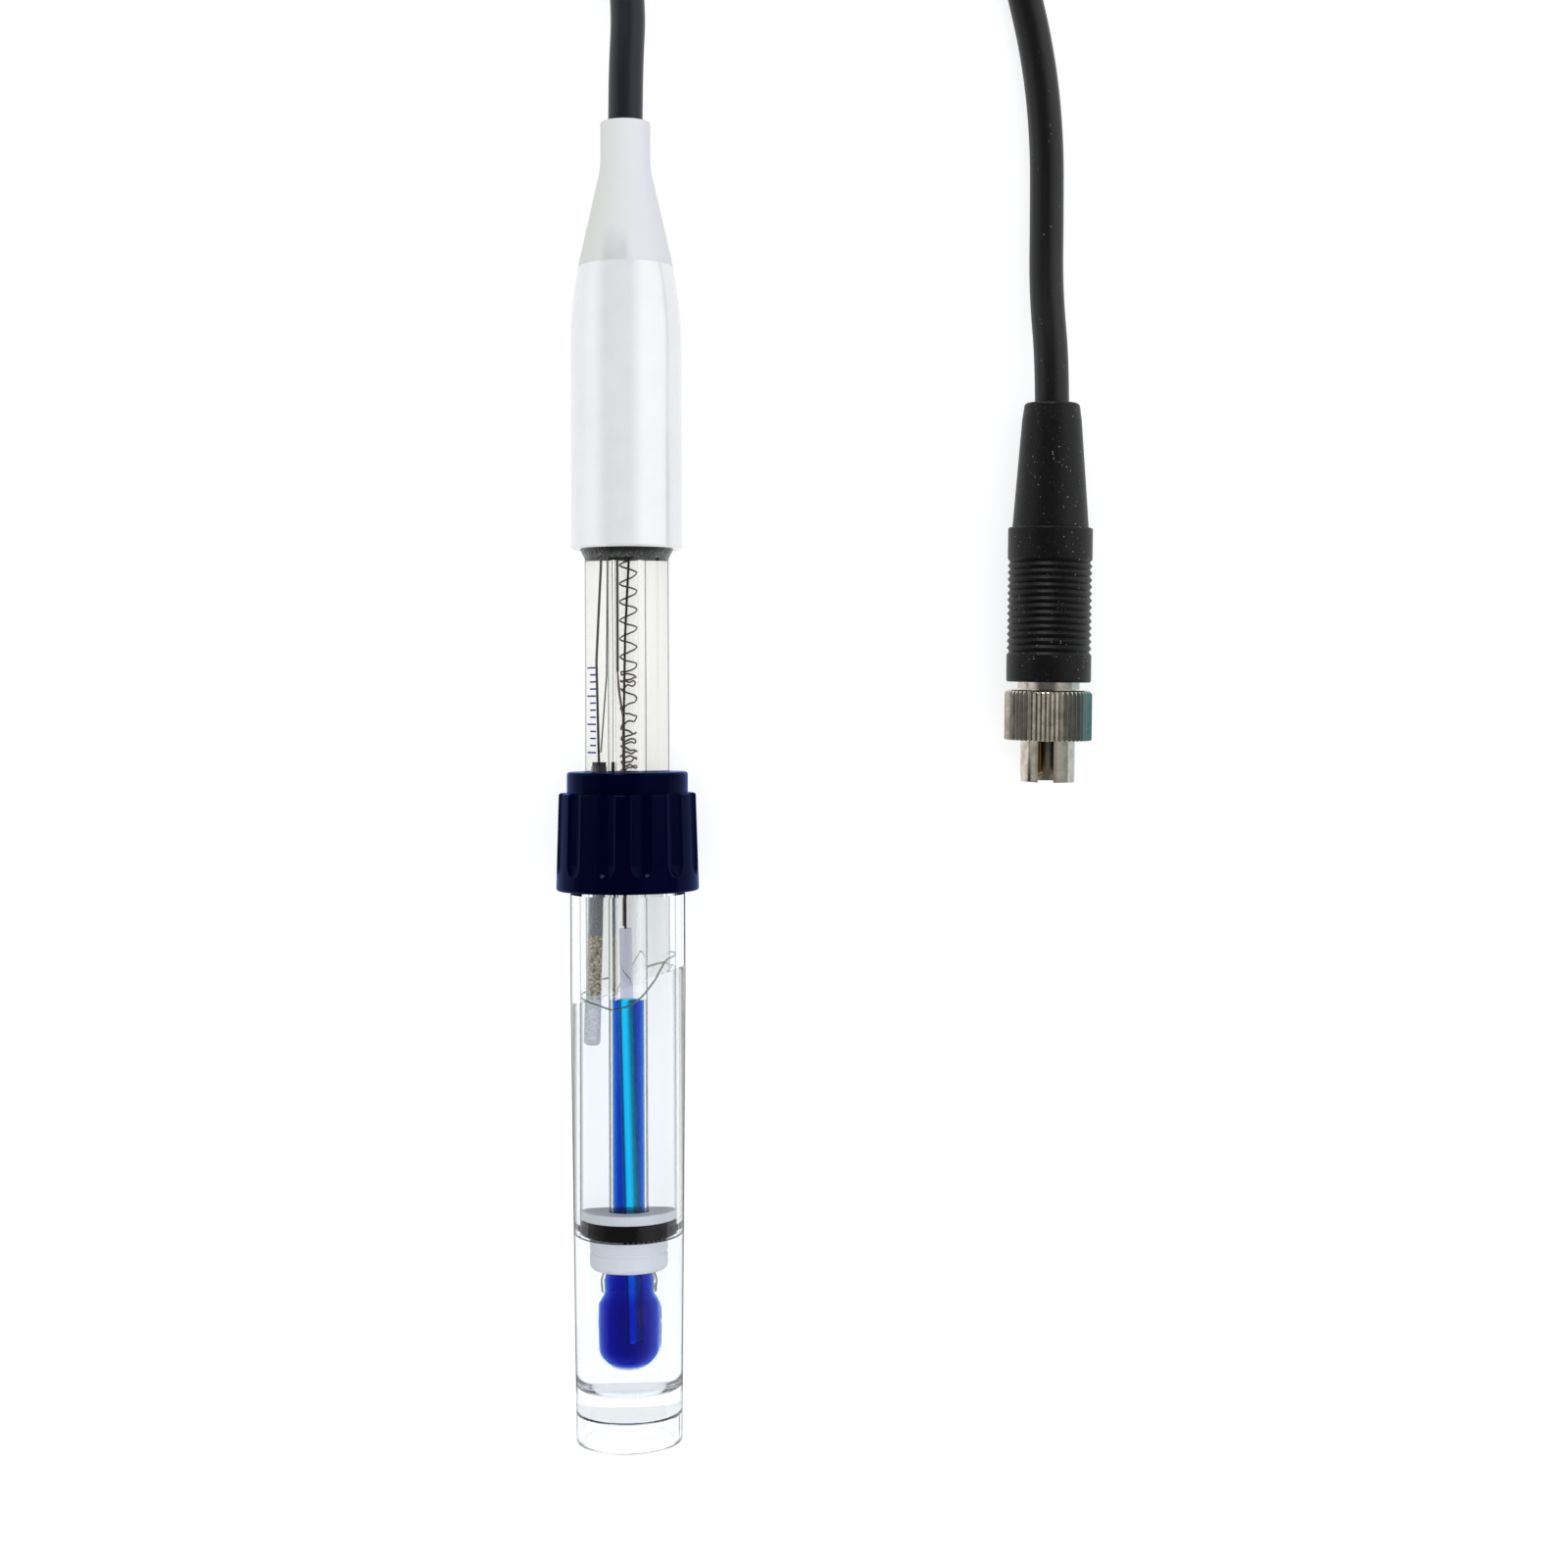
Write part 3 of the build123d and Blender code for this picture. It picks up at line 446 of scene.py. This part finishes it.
def black_rubber():
    """The plug's matt black rubber with fine pale dust on it."""
    look = Look("plug_rubber")
    vector = look.place(on_plug)[0]
    grain = look.noise(vector, 6.0, 3.0, 0.6)
    base = look.mix_colour(look.ramp(grain, 0.3, 0.7), tone("040405"), tone("0a0b0c"))
    coarse = dusty(look, vector, base, "9a9ca0", 1.5, 0.9)
    fine = dusty(look, vector, coarse, "74767a", 3.4, 0.9)
    shader = look.add(
        "ShaderNodeBsdfPrincipled",
        Base_Color=fine,
        Roughness=0.44,
        Specular_IOR_Level=0.22,
        Normal=look.bump(grain, 0.2, 0.08),
    )
    return look.surface(shader)


def cable_jacket():
    """The cable's smooth black jacket, bluer towards the electrode and dusty towards the plug."""
    look = Look("cable_jacket")
    coordinates = look.add("ShaderNodeTexCoord").outputs["Object"]
    millimetres = look.add("ShaderNodeVectorMath", {"operation": "SCALE"})
    look.feed(millimetres.inputs[0], coordinates)
    millimetres.inputs["Scale"].default_value = 1 / MM
    vector = millimetres.outputs[0]
    x = look.add("ShaderNodeSeparateXYZ", Vector=vector).outputs[0]
    plug_side = look.ramp(x, *jacket_change_x)
    grain = look.noise(vector, 3.0, 2.0)
    base = look.mix_colour(plug_side, tone("11141f"), tone("060607"))
    colour = dusty(look, vector, base, "74767a", 1.2, look.math("MULTIPLY", plug_side, 0.8))
    shader = look.add(
        "ShaderNodeBsdfPrincipled",
        Base_Color=colour,
        Roughness=0.42,
        Specular_IOR_Level=0.35,
        Normal=look.bump(grain, 0.1, 0.05),
    )
    return look.surface(shader)


def nickel():
    """Turned nickel plate with fine turning marks, warm on one side, with a painted bluish reflection on
    the other.
    """
    look = Look("nickel")
    vector, x, _, z = look.place(on_plug)
    marks = look.noise(vector, 1.0, 3.0)
    marks.node.noise_dimensions = "1D"
    look.feed(marks.node.inputs["W"], z)
    marks.node.inputs["Scale"].default_value = 9.0
    stain = look.ramp(look.noise(vector, 0.7, 3.0), 0.35, 0.7)
    metal = look.mix_colour(stain, tone("d2cabc"), tone("a89f90"))
    # Painted reflection: a bluish tint on the plug's +x side.
    with_painted_reflection = look.mix_colour(look.ramp(x, 1.5, 5.5), metal, tone("5f8688"))
    shader = look.add(
        "ShaderNodeBsdfPrincipled",
        Base_Color=with_painted_reflection,
        Metallic=1.0,
        Roughness=look.ramp(stain, 0.0, 1.0, 0.1, 0.2),
        Normal=look.bump(marks, 0.1, 0.03),
    )
    return look.surface(shader)


def plain(name, code, roughness, metallic=0.0, grain_scale=3.0, grain_tone=None, bump=0.1, shine=0.4):
    """A small piece's material: a base colour with a second tone in fine noise and a light bump."""
    look = Look(name)
    vector = look.place(on_electrode)[0]
    grain = look.noise(vector, grain_scale, 3.0)
    colour = look.mix_colour(look.ramp(grain, 0.35, 0.65), tone(code), tone(grain_tone or code))
    shader = look.add(
        "ShaderNodeBsdfPrincipled",
        Base_Color=colour,
        Metallic=metallic,
        Roughness=roughness,
        Specular_IOR_Level=shine,
        Normal=look.bump(grain, bump, 0.1),
    )
    return look.surface(shader)


def granules():
    """Packed tan salt grains of random pale tones, with painted shade darkening each towards the hollows
    between them.
    """
    look = Look("tan_granules")
    vector = look.place(on_electrode)[0]
    cells = look.add("ShaderNodeTexVoronoi", Vector=vector, Scale=2.5)
    # Painted shade: darker towards the hollows between the grains.
    painted_gap_shade = look.ramp(cells.outputs["Distance"], 0.4, 0.75, 0.0, 1.0)
    pick = look.add("ShaderNodeSeparateColor", Color=cells.outputs["Color"]).outputs[0]
    grain = look.mix_colour(pick, tone("c4a878"), tone("fff0cc"))
    colour = look.mix_colour(painted_gap_shade, grain, tone("5c4636"))
    shader = look.add("ShaderNodeBsdfPrincipled", Base_Color=colour, Roughness=0.7)
    look.feed(shader.inputs["Normal"], look.bump(cells.outputs["Distance"], 0.8, -0.2))
    return look.surface(shader)


def dress(material, *names):
    """Gives carried-over pieces one material."""
    for name in names:
        mesh = node(name).data
        mesh.materials.clear()
        mesh.materials.append(material)


def dress_nodes():
    """Every carried-over piece gets its finish."""
    dress(white_plastic(), "head_cap")
    dress(boot_plastic(), "cable_boot")
    dress(dark_resin(), "head_seal", "potting")
    dress(shaft_glass(), "shaft_tube")
    dress(stem_glass(), "stem_tube")
    dress(bulb_glass(), "membrane_bulb")
    dress(blue_liquid(), "blue_gel")
    dress(rod_glass(), "inner_rod")
    dress(plain("tarnished_silver", "060404", 0.4, 0.0, 1.2, "24100c", shine=0.1), "lead_coil")
    dress(plain("lead_insulation", "050506", 0.5), "lead_sleeve", "centre_lead", "reference_lead")
    dress(plain("lead_enamel", "6b3a34", 0.35), "sensor_leads")
    dress(clear_fill("clear_gel"), "reference_gel")
    dress(cartridge_glass(), "cartridge_tube")
    rubber_rings = ("cartridge_seal", "junction_o_ring", "cap_seal_ring")
    dress(plain("seal_rubber", "010102", 0.6, shine=0.0), *rubber_rings)
    dress(plain("grey_packing", "868b96", 0.7, 0.0, 2.5, "5f6572", 0.4), "cartridge_packing")
    dress(granules(), "cartridge_granules")
    dress(plain("cotton", "f6f8fc", 0.9, 0.0, 3.0, "d9dde6", 0.6), "cartridge_plug")
    dress(plain("silver_wire", "6a6a6c", 0.35, 0.8), "silver_wire")
    white_rings = ("upper_junction_ring", "lower_junction_ring", "vial_washer")
    dress(plain("porous_white", "fbfcff", 0.55, 0.0, 6.0, "eef1fa", 0.2), *white_rings)
    dress(navy_plastic(), "storage_cap")
    dress(vial_plastic(), "storage_vial")
    dress(clear_fill("storage_liquid"), "storage_solution")
    dress(black_rubber(), "plug_boot", "plug_shell")
    dress(nickel(), "plug_body", "coupling_nut", "contact_sleeve")
    dress(plain("insulator", "1c1610", 0.5), "contact_insulator")
    dress(plain("gold_plate", "8a6a3c", 0.3, 1.0), "contact_pins")


def let_light_through():
    """The clear pieces inside the vial cast no shadow, and rays pass the two clear fills.

    A fill's walls lie on the pieces round it, and rays that met both would lose the piece.
    """
    for name in ("shaft_tube", "stem_tube", "membrane_bulb", "blue_gel", "inner_rod", "cartridge_tube"):
        node(name).visible_shadow = False
    for name in ("reference_gel", "storage_solution"):
        fill = node(name)
        fill.visible_shadow = False
        fill.visible_camera = False
        fill.visible_diffuse = False
        fill.visible_glossy = False
        fill.visible_transmission = False


# The cable's route, in millimetres: out of the head, round the coil and into the plug
lead_points = [
    (0.6, 112.5, 5.2),
    (-1.6, 124.0, 3.4),
    (-6.8, 133.5, 2.6),
    (-13.5, 141.3, 2.5),
    (-19.4, 147.8, 2.5),
]
tail_points = [
    (38.1, 177.9, 7.6),
    (42.8, 165.3, 7.6),
    (47.0, 152.7, 6.9),
    (50.8, 140.0, 4.9),
    (54.4, 127.5, 3.2),
    (57.7, 115.5, 2.5),
    (60.2, 104.0, 2.5),
    (61.3, 92.5, 2.5),
    (61.2, 81.0, 2.6),
    (60.9, 70.0, 3.6),
]
lead_straight, tail_straight = 6.3, 5.2
coil_centre = (8.0, 167.0)
coil_points_a_turn = 14
coil_start_deg, coil_turns = 230.0, 4.583
coil_reach = [(0.0, 33.5), (1.0, 28.5), (2.0, 23.5), (2.5, 24.0), (3.5, 28.5), (4.583, 32.0)]
coil_rise = [(0.0, 2.5), (2.0, 2.5), (2.5, 7.3), (4.583, 7.5)]


def between(pairs, place):
    """A value read between listed pairs of place and value."""
    for (start, low), (end, high) in zip(pairs, pairs[1:]):
        if place <= end:
            return low + (high - low) * (place - start) / (end - start)
    return pairs[-1][1]


def coil_points():
    """The turns of the put-away coil: inward on the floor, then outward on top of it."""
    steps = round(coil_turns * coil_points_a_turn)
    points = []
    for step in range(1, steps):
        turn = coil_turns * step / steps
        angle = math.radians(coil_start_deg - 360 * turn)
        reach = between(coil_reach, turn)
        x = coil_centre[0] + reach * math.cos(angle)
        y = coil_centre[1] + reach * math.sin(angle)
        points.append((x, y, between(coil_rise, turn)))
    return points


def spot(axis_frame, level):
    """The point at a level of an axis, in millimetres in the world."""
    return tuple(axis_frame @ Vector((0, 0, level)) / MM)


def nurbs(name, points, radius_mm, sides=5, steps=10):
    """A round NURBS wire through a list of points in world millimetres."""
    curve = bpy.data.curves.new(name, "CURVE")
    curve.dimensions = "3D"
    curve.bevel_depth = radius_mm * MM
    curve.bevel_resolution = sides
    curve.resolution_u = steps
    curve.use_fill_caps = True
    spline = curve.splines.new("NURBS")
    spline.points.add(len(points) - 1)
    for point, place in zip(spline.points, points):
        point.co = (*(Vector(place) * MM), 1)
    spline.order_u = 3
    spline.use_endpoint_u = True
    made = bpy.data.objects.new(name, curve)
    bpy.context.scene.collection.objects.link(made)
    return made


def make_cable():
    """The whole cable, from the head's boot to the plug's boot."""
    route = [spot(on_electrode, boot_top - cable_in_boot), spot(on_electrode, boot_top + lead_straight)]
    route += lead_points + coil_points() + tail_points
    route += [spot(on_plug, plug_boot_top + tail_straight), spot(on_plug, plug_boot_top - cable_in_plug)]
    cable = nurbs("cable", route, cable_radius)
    cable.data.materials.append(cable_jacket())
    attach(cable, "root")
    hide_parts("cable_lead", "cable_tail", "cable_coil")
    on_cable = ["plug_boot", "plug_shell", "plug_body", "coupling_nut", "contact_sleeve"]
    on_cable += ["contact_insulator", "contact_pins"]


# The wound lead, by turns from its top: level in millimetres below the head, and loops pulled out of shape
wound_level = [(0.0, 1.2), (6.1, 17.2), (8.1, 19.4), (10.6, 26.0), (15.6, 32.0)]
wound_radius, wound_wire_radius, wound_x = 1.26, 0.13, 0.2
wound_phase_deg, wound_points_a_turn, wound_level_mess = 40.0, 12, 1.6
wound_messy = [(0.0, 0.02), (5.6, 0.05), (6.4, 0.3), (8.4, 0.3), (9.0, 0.1), (10.6, 0.25), (15.6, 0.25)]


def make_wound_lead():
    """The silver lead wound round the centre lead: even turns above, disturbed and tight ones below."""
    steps = round(wound_level[-1][0] * wound_points_a_turn)
    route = []
    for step in range(steps + 1):
        turn = step / wound_points_a_turn
        angle = math.radians(wound_phase_deg + 360 * turn)
        mess = between(wound_messy, turn)
        reach = wound_radius - mess * random.uniform(0.0, 1.0)
        level = between(wound_level, turn) + wound_level_mess * mess * random.uniform(-1.0, 1.0)
        local = Vector((wound_x + reach * math.cos(angle), reach * math.sin(angle), -level))
        route.append(on_electrode @ local / MM)
    lead = nurbs("wound_lead", route, wound_wire_radius, sides=2, steps=4)
    lead.data.materials.append(bpy.data.materials["tarnished_silver"])
    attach(lead, "root")
    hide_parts("lead_coil")


# The liquid's rim on the vial's bore, as seen across and level, in front and behind, in millimetres
rim_left, rim_right = (-7.9, 63.4), (7.9, 57.6)
rim_front = [rim_left, (-5.5, 64.0), (-1.8, 65.0), (1.2, 64.2), (2.9, 62.9)]
rim_front += [(5.0, 60.3), (6.0, 58.2), rim_right]
rim_back = [rim_left, (-5.0, 62.7), (0.0, 60.6), (3.0, 59.0), (5.8, 58.1), rim_right]
rim_radius, rim_seen_radius, rim_wire_radius, rim_points = 6.76, 7.9, 0.13, 48


def make_liquid_rim():
    """The bead of liquid that clings to the vial's bore, which draws the surface's wavy edge."""
    route = []
    for step in range(rim_points + 1):
        angle = 2 * math.pi * step / rim_points
        seen = rim_seen_radius * math.sin(angle)
        level = between(rim_front if math.cos(angle) > 0 else rim_back, seen)
        local = Vector((rim_radius * math.sin(angle), -rim_radius * math.cos(angle), -level))
        route.append(on_electrode @ local / MM)
    rim = nurbs("liquid_rim", route, rim_wire_radius, sides=2, steps=4)
    look = Look("liquid_rim")
    # Painted shade: the bead's glass is tinted grey, for the dark line that its curve shows.
    rim.data.materials.append(look.surface(glass(look, liquid_index, tone("c3ccc6"))))
    rim.visible_shadow = False
    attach(rim, "storage_vial")


# Plain blue ticks printed along the shaft
tick_first, tick_pitch, tick_count, tick_width = 17.0, 1.0, 13, 0.24
tick_lift, tick_from_deg, tick_long_deg, tick_short_deg = 0.02, -43.5, -66.0, -57.0
tick_long_every, tick_steps = 4, 6


def make_ticks():
    """A ladder of ticks on the glass, every fourth one long, each a band of small faces round the tube."""
    corners, faces = [], []
    reach = shaft_radius + tick_lift
    for tick in range(tick_count):
        low = tick_long_deg if tick % tick_long_every == 0 else tick_short_deg
        level = -tick_first - tick * tick_pitch
        start = len(corners)
        for step in range(tick_steps + 1):
            angle = math.radians(low + (tick_from_deg - low) * step / tick_steps)
            x, y = reach * math.sin(angle), -reach * math.cos(angle)
            for side in (-0.5, 0.5):
                corners.append(on_electrode @ Vector((x, y, level + side * tick_width)))
        for step in range(tick_steps):
            edge = start + 2 * step
            faces.append((edge, edge + 1, edge + 3, edge + 2))
    mesh = bpy.data.meshes.new("shaft_ticks")
    mesh.from_pydata(corners, [], faces)
    mesh.materials.append(plain("blue_print", "0a1a86", 0.5, 0.0, 4.0, "102490"))
    ticks = bpy.data.objects.new("shaft_ticks", mesh)
    bpy.context.scene.collection.objects.link(ticks)
    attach(ticks, "root")


def make_camera():
    """The photograph's view: straight down from above the shaft, with the picture shifted to the vial."""
    camera = bpy.data.cameras.new("camera")
    camera.lens = camera_lens
    camera.sensor_width = camera_sensor
    camera.shift_y = camera_shift_y
    camera.clip_start = 0.01
    made = bpy.data.objects.new("camera", camera)
    bpy.context.scene.collection.objects.link(made)
    roll = Matrix.Rotation(math.radians(camera_roll_deg), 4, "Z")
    made.matrix_world = Matrix.Translation(camera_place) @ roll
    bpy.context.scene.camera = made


def floor_finish():
    """A pale finish that looks white and keeps the object's shadow. Glass sees it dark off to the sides."""
    look = Look("floor")
    path = look.add("ShaderNodeLightPath").outputs
    place = look.add("ShaderNodeTexCoord").outputs["Object"]
    x, y = look.add("ShaderNodeSeparateXYZ", Vector=place).outputs[:2]
    beside = look.ramp(look.math("ABSOLUTE", x), *floor_strip, 1.0, floor_far_share)
    beyond = look.ramp(y, *floor_strip_end, floor_far_share, 1.0)
    under = look.math("MULTIPLY", look.math("MULTIPLY", beside, beyond), floor_glass_share)
    through = look.math("MULTIPLY", path["Is Transmission Ray"], under)
    bent = look.math("MAXIMUM", path["Is Glossy Ray"], through)
    first = look.math("LESS_THAN", path["Diffuse Depth"], 0.5)
    seen = look.math("MULTIPLY", look.math("MAXIMUM", path["Is Camera Ray"], bent), first)
    diffuse = look.add("ShaderNodeBsdfDiffuse", Color=tone("bcbdbe"))
    strength = look.math("MULTIPLY", seen, floor_glow)
    glow = look.add("ShaderNodeEmission", Color=tone("ffffff"), Strength=strength)
    both = look.add("ShaderNodeAddShader")
    look.feed(both.inputs[0], diffuse.outputs[0])
    look.feed(both.inputs[1], glow.outputs[0])
    return look.surface(both)


def make_floor():
    """The floor that the object lies on."""
    mesh = bpy.data.meshes.new("floor")
    corners = [(x * floor_half, y * floor_half, 0) for x, y in ((-1, -1), (1, -1), (1, 1), (-1, 1))]
    mesh.from_pydata(corners, [], [(0, 1, 2, 3)])
    mesh.materials.append(floor_finish())
    floor = bpy.data.objects.new("floor", mesh)
    bpy.context.scene.collection.objects.link(floor)


def make_world():
    """Soft light from all round, a dim room with bright sides for gloss, and a dark one for glass."""
    world = bpy.data.worlds.new("world")
    bpy.context.scene.world = world
    world.use_nodes = True
    look = Look("world", world)
    direction = look.add("ShaderNodeTexCoord").outputs["Generated"]
    x, y = look.add("ShaderNodeSeparateXYZ", Vector=direction).outputs[:2]
    soft = look.add("ShaderNodeBackground", Color=tone("f8f9fb"), Strength=soft_light)
    left = look.ramp(x, *left_panel_edge, left_panel, 0.0)
    right = look.ramp(x, *right_panel_edge, 0.0, right_panel)
    ahead = look.ramp(y, *panel_turn, panel_share_behind, 1.0)
    panels = look.math("ADD", look.math("MULTIPLY", look.math("ADD", left, right), ahead), room_light)
    facing = look.add("ShaderNodeVectorMath", {"operation": "DOT_PRODUCT"})
    look.feed(facing.inputs[0], direction)
    facing.inputs[1].default_value = Vector(glint_direction).normalized()
    glint = look.ramp(facing.outputs["Value"], *glint_edge, 0.0, glint_light)
    room = look.add("ShaderNodeBackground", Color=tone("fafbfc"), Strength=look.math("ADD", panels, glint))
    dark = look.add("ShaderNodeBackground", Color=tone("d9dcd2"), Strength=glass_surround)
    path = look.add("ShaderNodeLightPath").outputs
    first = look.math("LESS_THAN", path["Diffuse Depth"], 0.5)
    shiny = look.mix(look.math("MULTIPLY", path["Is Glossy Ray"], first), soft, room)
    lit = look.mix(look.math("MULTIPLY", path["Is Transmission Ray"], first), shiny, dark)
    backdrop = look.add("ShaderNodeBackground", Color=tone("ffffff"), Strength=1.0)
    look.surface(look.mix(path["Is Camera Ray"], lit, backdrop))


def make_lamp(name, place, width, watts):
    """A soft rectangular lamp, aimed at the electrode's middle, that gloss doesn't show."""
    lamp = bpy.data.lights.new(name, "AREA")
    lamp.shape = "RECTANGLE"
    lamp.size, lamp.size_y = width, lamp_length
    lamp.energy = watts
    made = bpy.data.objects.new(name, lamp)
    made.location = place
    made.rotation_euler = (Vector(lamp_aim) - Vector(place)).to_track_quat("-Z", "Y").to_euler()
    made.visible_glossy = False
    bpy.context.scene.collection.objects.link(made)


def make_lamps():
    """A broad lamp on the right and a weaker one on the left, both along the electrode."""
    make_lamp("right_lamp", right_lamp_place, right_lamp_width, right_lamp_watts)
    make_lamp("left_lamp", left_lamp_place, left_lamp_width, left_lamp_watts)


def allow_many_surfaces():
    """Light that crosses the vial, both tubes and what they hold meets many surfaces, in and out."""
    cycles = bpy.context.scene.cycles
    cycles.max_bounces = deepest_path
    cycles.transmission_bounces = deepest_path
    cycles.transparent_max_bounces = deepest_path


def make_scene():
    """The whole scene."""
    random.seed(5)
    bpy.context.scene.view_settings.view_transform = "Standard"
    allow_many_surfaces()
    make_camera()
    make_cable()
    dress_nodes()
    let_light_through()
    make_wound_lead()
    make_liquid_rim()
    make_ticks()
    make_floor()
    make_world()
    make_lamps()


make_scene()
bpy.context.view_layer.update()
